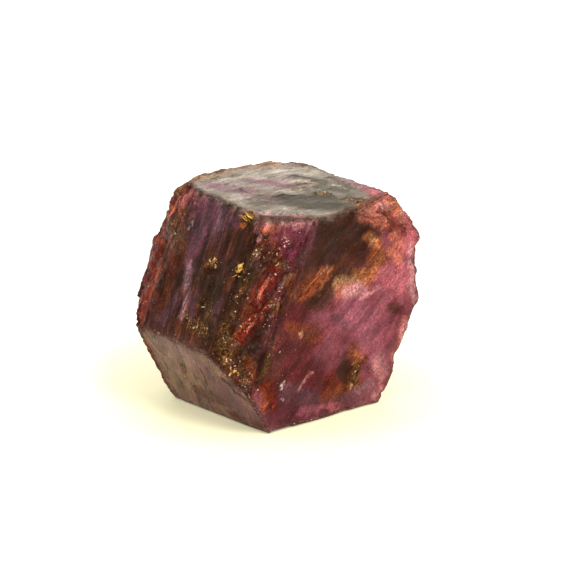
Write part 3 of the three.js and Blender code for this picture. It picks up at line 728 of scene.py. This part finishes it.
# For each point: red, green, blue, how rusty, how glittering, how filmed, and how fibrous it is
def paintCrystal(ground):
    points = ground["points"]
    wander = sum(
        np.stack([fractal(points, size, 3, seed + n) for n in range(3)], 1) * reach
        for size, reach, seed in painting["wanders"]
    )
    ragged = 0.4 + 0.9 * ground["broken"]
    share = shareOfFaces(points + wander * ragged[:, None], painting["faceBlend"])
    clouds = smooth(-0.25, 0.45, fractal(points, painting["cloudSize"], 5, 91))
    paint = np.zeros((len(points), 7))
    for name in faces:
        near = share[name] > 0.002
        if not near.any():
            continue
        fibrous = paintFrames[name]["fibrous"]
        origin, across, up = faceFrame(name)
        along = streakDirections(name)[1]
        long = ground["streak"][near] * np.array([0.18, 1, 1])
        streak = fractal(long, painting["streakSize"], 4, 81)
        slide = painting["slideReach"] * fractal(long * 1.6, painting["slideSize"], 3, 85)
        slide = slide + painting["fineSlideReach"] * noise(long, painting["fineSlideSize"], 88)
        moved = points[near] + wander[near] + along * (fibrous * slide)[:, None]
        first, second = (tint(tone) for tone in paintFrames[name]["colours"])
        own = first + (second - first) * clouds[near][:, None] * 0.65
        for tone, u1, v1, u2, v2, halfWidth, strength in stainsOn(name):
            start = origin + across * u1 + up * v1
            end = origin + across * u2 + up * v2
            away = distanceToLine(moved, start, end) / halfWidth
            cover = smooth(*painting["softness"], away) * strength
            cover = cover * np.clip(1 + 0.5 * streak, 0, 1.25)
            own = own + (tint(tone) - own) * np.clip(cover, 0, 1)[:, None]
        own[:, :3] *= (1 + 0.5 * fibrous * streak)[:, None]
        fibres = np.clip(fibrous + 0.45 * own[:, 3], 0, 1)
        paint[near] += share[name][near][:, None] * np.column_stack([own, fibres])
    # The fringe under the top rim: painted highlight on the teeth and painted shade in the gaps
    teeth = 2.2 * smooth(0.05, 0.45, ground["teeth"]) - 0.5 * smooth(0.0, -0.35, ground["teeth"])
    paint[:, :3] *= (1 + ground["fringe"] * teeth)[:, None]
    return np.clip(paint, 0.001, 1)


def saveVectors(piece, name, vectors, kind="FLOAT_VECTOR"):
    layer = piece.data.attributes.new(name, kind, "POINT")
    if kind == "FLOAT_COLOR":
        vectors = np.concatenate([vectors, np.ones((len(vectors), 1))], 1)
        layer.data.foreach_set("color", vectors.astype(np.float32).ravel())
    else:
        layer.data.foreach_set("vector", vectors.astype(np.float32).ravel())


print("shaping the crystal")
crystal = finePiece()
ground = shapeSurface(crystal)
print("crystal facets:", len(crystal.data.polygons) * 2)

print("painting the crystal")
paint = paintCrystal(ground)
saveVectors(crystal, "growthColour", paint[:, :3], "FLOAT_COLOR")
saveVectors(crystal, "streakPlace", ground["streak"])
saveMask(crystal, "rusty", paint[:, 3])
# How densely painted glints are strewn
saveMask(crystal, "paintedGlints", paint[:, 4])
saveMask(crystal, "film", paint[:, 5] * (1 - 0.7 * ground["broken"]))
saveMask(crystal, "broken", ground["broken"])
saveMask(crystal, "edge", ground["rim"])
saveMask(crystal, "fibrous", paint[:, 6])
# Painted shade in the recesses of the surface
saveMask(crystal, "recessShade", smooth(-0.02, -0.12, ground["height"]))

# Mica flakes sit in the pits and along the rough edges
flakes = {
    "thickness": 0.03,
    "lengths": (0.35, 0.8),  # each flake's length, as a share of its cluster's longest
    "widths": (0.2, 0.6),  # its width, as a share of its length
    "lean": 60,  # the most that it leans, in degrees
    "clearOfFloor": 0.25,
    # Face, place on it, how far they spread, how many, and the length of the longest
    "clusters": [
        ("leftUpper", (2.66, 4.75), 0.16, 2, 1.6),
        ("leftUpper", (0.9, 0.85), 0.4, 7, 0.5),
        ("leftUpper", (3.6, 0.85), 0.45, 10, 0.75),
        ("leftUpper", (2.4, -4.2), 1.2, 5, 0.32),
        ("leftUpper", (-2.6, 3.2), 0.9, 3, 0.28),
        ("frontLeftBreak", (-2.5, -4.6), 0.2, 3, 1.0),
        ("frontLeftBreak", (-2.0, -5.2), 1.1, 8, 0.3),
        ("frontLeftBreak", (0.5, -3.6), 0.9, 6, 0.25),
        ("frontLeftBreak", (-1.9, 1.9), 0.7, 3, 0.3),
        ("frontLeftBreak", (1.2, 1.4), 1.2, 4, 0.25),
        ("top", (1.3, -0.4), 0.4, 4, 0.4),
        ("top", (2.3, -1.8), 0.35, 4, 0.42),
        ("top", (2.8, -4.9), 0.25, 3, 0.6),
        ("top", (-2.6, 5.2), 1.4, 5, 0.35),
        ("top", (3.4, 5.2), 1.4, 4, 0.3),
        ("frontTopBreak", (1.6, 0.2), 1.0, 5, 0.3),
        ("front", (4.6, 6.2), 0.9, 4, 0.3),
        ("front", (0.9, -3.8), 0.6, 3, 0.2),
        ("backLeftBreak", (0.4, 1.2), 1.6, 6, 0.3),
        ("back", (-2.2, 4.8), 0.9, 4, 0.4),
        ("back", (2.4, -3.4), 0.7, 4, 0.35),
        ("rightUpper", (2.2, 0.6), 0.7, 5, 0.5),
        ("rightLower", (3.6, -0.4), 0.8, 4, 0.4),
        ("under", (2.8, -2.8), 0.5, 2, 0.3),
        ("backTopBreak", (0.6, 0.2), 1.6, 5, 0.35),
        ("backRightBreak", (0.4, -1.8), 1.0, 5, 0.35),
        ("backLowBreak", (0.9, -0.2), 1.0, 5, 0.35),
        ("rightEdge", (1.6, 0.1), 1.4, 3, 0.3),
        ("leftUpper", (2.7, 4.45), 0.2, 3, 1.9),
        ("frontTopBreak", (2.4, 1.4), 0.8, 10, 0.4),
        ("top", (3.3, -4.7), 0.12, 2, 0.8),
    ],
}


def makeFlakes(piece):
    surface = readPoints(piece)
    outward = readNormals(piece)
    bpy.ops.object.select_all(action="DESELECT")
    bpy.ops.mesh.primitive_cylinder_add(vertices=5, radius=0.5, depth=1)
    pattern = bpy.context.object
    bevel = pattern.modifiers.new("worn rim", "BEVEL")
    bevel.width, bevel.segments = 0.08, 1
    bpy.ops.object.modifier_apply(modifier=bevel.name)
    copies = []
    chance = random.Random(19)
    for face, (u, v), spread, count, longest in flakes["clusters"]:
        origin, across, up = faceFrame(face)
        for _ in range(count):
            shift = [chance.gauss(0, 0.5) * spread for _ in range(2)]
            spot = origin + across * (u + shift[0]) + up * (v + shift[1])
            nearest = np.argmin(((surface - spot) ** 2).sum(1))
            normal = Vector(outward[nearest])
            if surface[nearest][2] < flakes["clearOfFloor"] - faces["under"]["distance"]:
                continue
            length = longest * chance.uniform(*flakes["lengths"])
            width = length * chance.uniform(*flakes["widths"])
            copy = pattern.copy()
            copy.data = pattern.data.copy()
            bpy.context.scene.collection.objects.link(copy)
            copy.rotation_mode = "QUATERNION"
            flat = normal.to_track_quat("Z", "Y")
            turn = Quaternion((0, 0, 1), chance.uniform(0, math.tau))
            tilt = math.radians(chance.uniform(-flakes["lean"], flakes["lean"]))
            lean = Quaternion((1, 0, 0), tilt)
            copy.rotation_quaternion = flat @ turn @ lean
            copy.scale = (length, width, flakes["thickness"])
            copy.location = Vector(surface[nearest])
            copies.append(copy)
    bpy.data.objects.remove(pattern)
    bpy.ops.object.select_all(action="DESELECT")
    for copy in copies:
        copy.select_set(True)
    bpy.context.view_layer.objects.active = copies[0]
    bpy.ops.object.join()
    joined = bpy.context.object
    joined.name = joined.data.name = "mica_flakes"
    bpy.ops.object.transform_apply(location=True, rotation=True, scale=True)
    return joined


mica = makeFlakes(crystal)
for piece in (crystal, mica):
    writePoints(piece, readPoints(piece) * mm + np.array(crystalCentre))
    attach(piece, "root")
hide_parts("ruby_crystal")
print("mica flakes:", len(mica.data.polygons))


# Finishes
def newMaterial(name):
    material = bpy.data.materials.new(name)
    material.use_nodes = True
    material.node_tree.nodes.clear()
    return material, material.node_tree


def addNode(tree, kind, inputs, **settings):
    node = tree.nodes.new("ShaderNode" + kind)
    for key, value in settings.items():
        setattr(node, key, value)
    for key, value in inputs.items():
        if isinstance(value, bpy.types.NodeSocket):
            tree.links.new(value, node.inputs[key])
        else:
            node.inputs[key].default_value = value
    return node


def calculate(tree, operation, *values):
    return addNode(tree, "Math", dict(enumerate(values)), operation=operation).outputs[0]


def multiply(tree, *values):
    result = values[0]
    for value in values[1:]:
        result = calculate(tree, "MULTIPLY", result, value)
    return result


# From toLow where a value is at or under low, to toHigh where it is at or over high
def ramp(tree, value, low, high, toLow=0.0, toHigh=1.0):
    sockets = {"Value": value, "From Min": low, "From Max": high, "To Min": toLow, "To Max": toHigh}
    return addNode(tree, "MapRange", sockets, interpolation_type="SMOOTHSTEP").outputs[0]


def blend(tree, share, a, b):
    return addNode(tree, "Mix", {0: share, 6: a, 7: b}, data_type="RGBA").outputs[2]


# Places with each axis scaled: a pattern on them is drawn out along an axis of a low factor
def stretch(tree, vector, factors):
    return addNode(tree, "VectorMath", {0: vector, 1: factors}, operation="MULTIPLY").outputs[0]


def noiseAt(tree, where, size, detail=3.0, roughness=0.6):
    sockets = {"Vector": where, "Scale": 1 / size, "Detail": detail, "Roughness": roughness}
    return addNode(tree, "TexNoise", sockets).outputs[0]


def savedMask(tree, name):
    return addNode(tree, "Attribute", {}, attribute_name=name).outputs["Fac"]


def scaled(tree, colour, factor):
    sockets = {"Vector": colour, "Scale": factor}
    return addNode(tree, "VectorMath", sockets, operation="SCALE").outputs[0]


# Facets of one size, each leaning its own way: a height that bump mapping turns into glints
def leaningFacets(tree, where, size):
    facets = addNode(tree, "TexVoronoi", {"Vector": where, "Scale": 1 / size})
    here = stretch(tree, where, (1 / size,) * 3)
    spot = stretch(tree, facets.outputs["Position"], (1 / size,) * 3)
    away = addNode(tree, "VectorMath", {0: here, 1: spot}, operation="SUBTRACT").outputs[0]
    sockets = {0: facets.outputs["Color"], 1: (0.5,) * 3}
    lean = addNode(tree, "VectorMath", sockets, operation="SUBTRACT")
    slope = addNode(tree, "VectorMath", {0: away, 1: lean.outputs[0]}, operation="DOT_PRODUCT")
    return slope.outputs["Value"]


# The crystal's finish: the sizes of its patterns in millimetres, and its small colours
finish = {
    "fibre": 0.55,
    "fineFibre": 0.17,
    "cloud": 1.0,
    "grain": 0.2,
    "grit": 0.11,
    "ledge": 2.4,
    "ledges": 12.0,  # how many ledges there are from the lowest ground to the highest
    "ledgeHeight": 0.04,
    "bundle": 1.1,
    "hole": 0.3,
    "cluster": 0.8,
    "fleck": 0.13,
    "filmPatch": 0.8,
    "facet": 0.34,
    "smallFacet": 0.16,
    "grooveDepth": 0.045,
    "threadColour": (0.40, 0.15, 0.05, 1),
    # Painted shade: the near black laid in grooves, pits and recesses
    "paintedShadeColour": (0.014, 0.004, 0.0015, 1),
    # Painted glints: the colours of the small bright flecks
    "roseGlintColour": (0.62, 0.3, 0.24, 1),
    "goldGlintColour": (0.42, 0.2, 0.05, 1),
    "brightestGlintColour": (0.9, 0.74, 0.58, 1),
    "mica": 0.35,
    "darkMica": (0.14, 0.045, 0.006, 1),
    "brightMica": (0.85, 0.5, 0.12, 1),
}


def rubyMaterial():
    material, tree = newMaterial("raw ruby")
    shader = addNode(tree, "BsdfPrincipled", {
        "IOR": 1.45,
        "Specular IOR Level": 0.1,
        "Specular Tint": (1.0, 0.84, 0.7, 1),
        "Subsurface Weight": 0.15,
        "Subsurface Radius": (1.0, 0.3, 0.25),
        "Subsurface Scale": 0.4 * mm,
        "Coat IOR": 1.8,
        "Coat Roughness": 0.14,
    })
    addNode(tree, "OutputMaterial", {0: shader.outputs[0]})

    place = stretch(tree, addNode(tree, "TexCoord", {}).outputs["Object"], (1 / mm,) * 3)
    streakPlace = addNode(tree, "Attribute", {}, attribute_name="streakPlace").outputs["Vector"]
    fibrePlace = stretch(tree, streakPlace, (0.13, 1, 1))
    dashPlace = stretch(tree, streakPlace, (0.4, 1, 1))
    rusty = savedMask(tree, "rusty")
    paintedGlints = savedMask(tree, "paintedGlints")
    film = savedMask(tree, "film")
    broken = savedMask(tree, "broken")
    edge = savedMask(tree, "edge")
    recessShade = savedMask(tree, "recessShade")

    # Fibres along the growth lines, and clouds through them
    fibres = noiseAt(tree, fibrePlace, finish["fibre"], 4, 0.65)
    fineFibres = noiseAt(tree, fibrePlace, finish["fineFibre"], 4, 0.7)
    clouds = noiseAt(tree, dashPlace, finish["cloud"], 4, 0.6)
    grains = noiseAt(tree, place, finish["grain"], 3, 0.6)
    grit = noiseAt(tree, place, finish["grit"], 2, 0.5)
    fibreShare = savedMask(tree, "fibrous")
    fibrous = multiply(
        tree,
        ramp(tree, fibres, 0.3, 0.7, 0.4, 1.6),
        ramp(tree, fineFibres, 0.3, 0.7, 0.55, 1.45),
    )
    swing = calculate(tree, "SUBTRACT", fibrous, 1.0)
    fibrous = calculate(tree, "MULTIPLY_ADD", swing, fibreShare, 1.0)
    # Where painted glints are dense, the grains swing further between dark and light, as painted
    # sparkle
    darkest = ramp(tree, paintedGlints, 0.1, 1.0, 0.76, 0.25)
    lightest = calculate(tree, "SUBTRACT", 2.0, darkest)
    cloudy = multiply(
        tree,
        ramp(tree, clouds, 0.3, 0.7, 0.66, 1.34),
        ramp(tree, grains, 0.3, 0.7, darkest, lightest),
        ramp(tree, grit, 0.3, 0.7, darkest, lightest),
    )
    brightness = multiply(tree, fibrous, cloudy)

    # Low growth ledges on the faces with a film: painted shade as a dark line at the foot, and a
    # painted highlight as a light one on the rim
    ledgePlace = stretch(tree, streakPlace, (0.2, 1, 1))
    swell = noiseAt(tree, ledgePlace, finish["ledge"], 4, 0.55)
    ledges = multiply(tree, swell, finish["ledges"])
    acrossLedge = calculate(tree, "FRACT", ledges)
    filmed = ramp(tree, film, 0.06, 0.25)
    ledgeFootShade = ramp(tree, acrossLedge, 0.2, 0.04, 0.0, 0.6)
    ledgeCrestHighlight = ramp(tree, acrossLedge, 0.8, 0.96, 0.0, 0.5)
    ledgeLightAndShade = multiply(tree, calculate(tree, "SUBTRACT", ledgeCrestHighlight, ledgeFootShade), filmed)
    brightness = multiply(tree, brightness, calculate(tree, "ADD", ledgeLightAndShade, 1.0))
    colour = addNode(tree, "Attribute", {}, attribute_name="growthColour").outputs["Color"]
    colour = scaled(tree, colour, brightness)

    # Amber threads in the rusty ground and pale wisps elsewhere; painted shade in the grooves
    # between the fibres, in small pits of the broken ground and in the recesses
    bundles = ramp(tree, noiseAt(tree, fibrePlace, finish["bundle"], 2), 0.47, 0.6)
    threads = multiply(tree, ramp(tree, fineFibres, 0.55, 0.66), bundles, rusty, rusty, 0.7)
    colour = blend(tree, threads, colour, finish["threadColour"])
    wisps = multiply(tree, ramp(tree, fineFibres, 0.56, 0.7), bundles, fibreShare)
    wisps = calculate(tree, "MULTIPLY_ADD", wisps, 1.1, 1.0)
    colour = scaled(tree, colour, wisps)
    darkness = ramp(tree, rusty, 0.0, 1.0, 0.25, 0.85)
    grooveShade = multiply(tree, ramp(tree, fineFibres, 0.45, 0.34), darkness, fibreShare)
    pitShade = ramp(tree, noiseAt(tree, dashPlace, finish["hole"], 3, 0.6), 0.42, 0.34)
    pitShade = multiply(tree, pitShade, broken, 0.8)
    dark = calculate(tree, "MAXIMUM", grooveShade, pitShade)
    dark = calculate(tree, "MAXIMUM", dark, multiply(tree, recessShade, 0.35))
    colour = blend(tree, dark, colour, finish["paintedShadeColour"])

    # Painted glints: small bright flecks, in clusters
    clusters = ramp(tree, noiseAt(tree, dashPlace, finish["cluster"], 4, 0.75), 0.44, 0.62)
    rough = calculate(tree, "MAXIMUM", edge, multiply(tree, broken, 0.8))
    crowd = multiply(tree, rough, clusters, 0.95)
    rich = multiply(tree, paintedGlints, paintedGlints, ramp(tree, clusters, 0.0, 1.0, 0.6, 1.0))
    crowd = calculate(tree, "MAXIMUM", crowd, rich)
    least = calculate(tree, "MULTIPLY_ADD", crowd, -0.21, 0.74)
    most = calculate(tree, "ADD", least, 0.07)
    glintNoise = noiseAt(tree, place, finish["fleck"], 2, 0.5)
    glintSpots = ramp(tree, glintNoise, least, most)
    glintColour = blend(tree, rusty, finish["roseGlintColour"], finish["goldGlintColour"])
    brightest = ramp(tree, calculate(tree, "SUBTRACT", glintNoise, least), 0.04, 0.12)
    glintColour = blend(tree, brightest, glintColour, finish["brightestGlintColour"])
    colour = blend(tree, multiply(tree, glintSpots, 0.8), colour, glintColour)
    tree.links.new(colour, shader.inputs["Base Color"])

    # How rough it is, and the coat: the silvery film, the painted glint flecks, and a few glassy
    # facets
    roughness = ramp(tree, grains, 0.3, 0.7, 0.3, 0.55)
    tree.links.new(roughness, shader.inputs["Roughness"])
    patches = noiseAt(tree, fibrePlace, finish["filmPatch"], 3)
    silvery = multiply(tree, film, ramp(tree, patches, 0.3, 0.62, 0.35, 1.0))
    sockets = {"Vector": dashPlace, "Scale": 1 / finish["smallFacet"]}
    smallFacets = addNode(tree, "TexVoronoi", sockets)
    pick = addNode(tree, "SeparateColor", {0: smallFacets.outputs["Color"]}).outputs[2]
    glassy = multiply(tree, ramp(tree, pick, 0.6, 0.8), ramp(tree, broken, 0.1, 0.7, 0.04, 0.15))
    coat = calculate(tree, "MAXIMUM", calculate(tree, "MAXIMUM", silvery, glintSpots), glassy)
    tree.links.new(coat, shader.inputs["Coat Weight"])

    # Relief too fine for the mesh: facets of two sizes on the broken ground, ledges, and grooves
    facets = calculate(
        tree, "ADD",
        multiply(tree, leaningFacets(tree, dashPlace, finish["facet"]), 2.0),
        leaningFacets(tree, dashPlace, finish["smallFacet"]),
    )
    height = multiply(tree, facets, ramp(tree, broken, 0.0, 0.7, 0.015, 0.1))
    steps = multiply(tree, calculate(tree, "FLOOR", ledges), filmed, finish["ledgeHeight"])
    height = calculate(tree, "ADD", height, steps)
    gritHeight = ramp(tree, broken, 0.0, 0.7, 0.02, 0.05)
    height = calculate(tree, "MULTIPLY_ADD", grit, gritHeight, height)
    coarse = addNode(tree, "Bump", {"Strength": 0.9, "Distance": mm, "Height": height})
    grooves = addNode(tree, "Bump", {
        "Strength": 0.7,
        "Distance": finish["grooveDepth"] * mm,
        "Height": fineFibres,
        "Normal": coarse.outputs[0],
    })
    tree.links.new(grooves.outputs[0], shader.inputs["Normal"])
    tree.links.new(grooves.outputs[0], shader.inputs["Coat Normal"])
    return material


def micaMaterial():
    material, tree = newMaterial("golden mica")
    shader = addNode(tree, "BsdfPrincipled", {"Metallic": 0.6, "Roughness": 0.18, "IOR": 1.58})
    addNode(tree, "OutputMaterial", {0: shader.outputs[0]})
    place = addNode(tree, "TexCoord", {}).outputs["Object"]
    shade = noiseAt(tree, stretch(tree, place, (1 / mm,) * 3), finish["mica"], 2)
    light = ramp(tree, shade, 0.35, 0.65)
    colour = blend(tree, light, finish["darkMica"], finish["brightMica"])
    tree.links.new(colour, shader.inputs["Base Color"])
    return material


crystal.data.materials.clear()
crystal.data.materials.append(rubyMaterial())
mica.data.materials.clear()
mica.data.materials.append(micaMaterial())

# The studio
studio = {
    "azimuth": -43,
    "elevation": 18,
    "distance": 300,
    "pixelsPerMm": 13.93,
    "imageWidth": 575,
    "crystalAt": (279.5, 298.5),  # where the crystal's centre stands in the image, in pixels
    "sensor": 36,
    # Lights: name, azimuth, elevation, distance and size in metres, and power
    "lights": [
        ("key", -10, 50, 0.8, 0.3, 2.6),
        ("back", 137, 40, 0.9, 0.5, 1.2),
        ("right glint", 40, 32, 0.8, 0.2, 0.6),
        ("left glint", -130, 42, 0.8, 0.25, 0.8),
    ],
    "worldColour": (1, 0.97, 0.92, 1),
    "worldStrength": 0.88,
    # Painted shadow tint: the paper's yellow tint is kept only beside the crystal, where its soft
    # contact shadow falls; farther out the paper is near white
    "paperTintInShadow": (1.0, 0.97, 0.62, 1),  # the paper's colour beside the crystal
    "paperFar": (1.0, 1.0, 0.97, 1),
    "paperChange": (0.006, 0.022),  # where the one changes to the other, in metres
    "paperGlow": (1, 1, 0.8, 1),
    "paperGlowStrength": 0.2,
}


# The way from the crystal to what stands at an azimuth, from the front, and an elevation
def wayTo(azimuth, elevation):
    a, e = math.radians(azimuth), math.radians(elevation)
    return Vector((math.sin(a) * math.cos(e), -math.cos(a) * math.cos(e), math.sin(e)))


def placeInScene(name, data, place, way):
    thing = bpy.data.objects.new(name, data)
    bpy.context.scene.collection.objects.link(thing)
    thing.location = place
    thing.rotation_mode = "QUATERNION"
    thing.rotation_quaternion = (-way).to_track_quat("-Z", "Y")
    return thing


def makeCamera():
    back = wayTo(studio["azimuth"], studio["elevation"])
    a = math.radians(studio["azimuth"])
    right = Vector((math.cos(a), math.sin(a), 0))
    up = back.cross(right)
    middle = studio["imageWidth"] / 2
    shiftRight = (middle - studio["crystalAt"][0]) / studio["pixelsPerMm"] * mm
    shiftUp = (studio["crystalAt"][1] - middle) / studio["pixelsPerMm"] * mm
    target = crystalCentre + right * shiftRight + up * shiftUp
    data = bpy.data.cameras.new("camera")
    data.sensor_width = studio["sensor"]
    data.lens = studio["sensor"] * studio["distance"] * studio["pixelsPerMm"] / studio["imageWidth"]
    data.clip_start, data.clip_end = 0.01, 20
    place = target + back * studio["distance"] * mm
    bpy.context.scene.camera = placeInScene("camera", data, place, back)


def makeFloor():
    bpy.ops.object.select_all(action="DESELECT")
    bpy.ops.mesh.primitive_plane_add(size=6)
    floor = bpy.context.object
    floor.name = "floor"
    material, tree = newMaterial("pale paper")
    shader = addNode(tree, "BsdfPrincipled", {
        "Roughness": 0.9,
        "Specular IOR Level": 0.1,
        "Emission Color": studio["paperGlow"],
        "Emission Strength": studio["paperGlowStrength"],
    })
    addNode(tree, "OutputMaterial", {0: shader.outputs[0]})
    # Painted shadow tint around the crystal: yellow near it, near white farther out
    place = addNode(tree, "TexCoord", {}).outputs["Object"]
    away = addNode(tree, "VectorMath", {0: place}, operation="LENGTH").outputs["Value"]
    far = ramp(tree, away, *studio["paperChange"])
    colour = blend(tree, far, studio["paperTintInShadow"], studio["paperFar"])
    tree.links.new(colour, shader.inputs["Base Color"])
    floor.data.materials.append(material)


def softLight(name, azimuth, elevation, distance, size, power):
    data = bpy.data.lights.new(name, "AREA")
    data.shape, data.size, data.energy = "DISK", size, power
    way = wayTo(azimuth, elevation)
    placeInScene(name, data, crystalCentre + way * distance, way)


def makeStudio():
    world = bpy.data.worlds.new("white room")
    bpy.context.scene.world = world
    world.use_nodes = True
    background = world.node_tree.nodes["Background"]
    background.inputs[0].default_value = studio["worldColour"]
    background.inputs[1].default_value = studio["worldStrength"]
    for light in studio["lights"]:
        softLight(*light)
    bpy.context.scene.view_settings.view_transform = "Standard"


makeFloor()
makeStudio()
makeCamera()
print("studio ready")
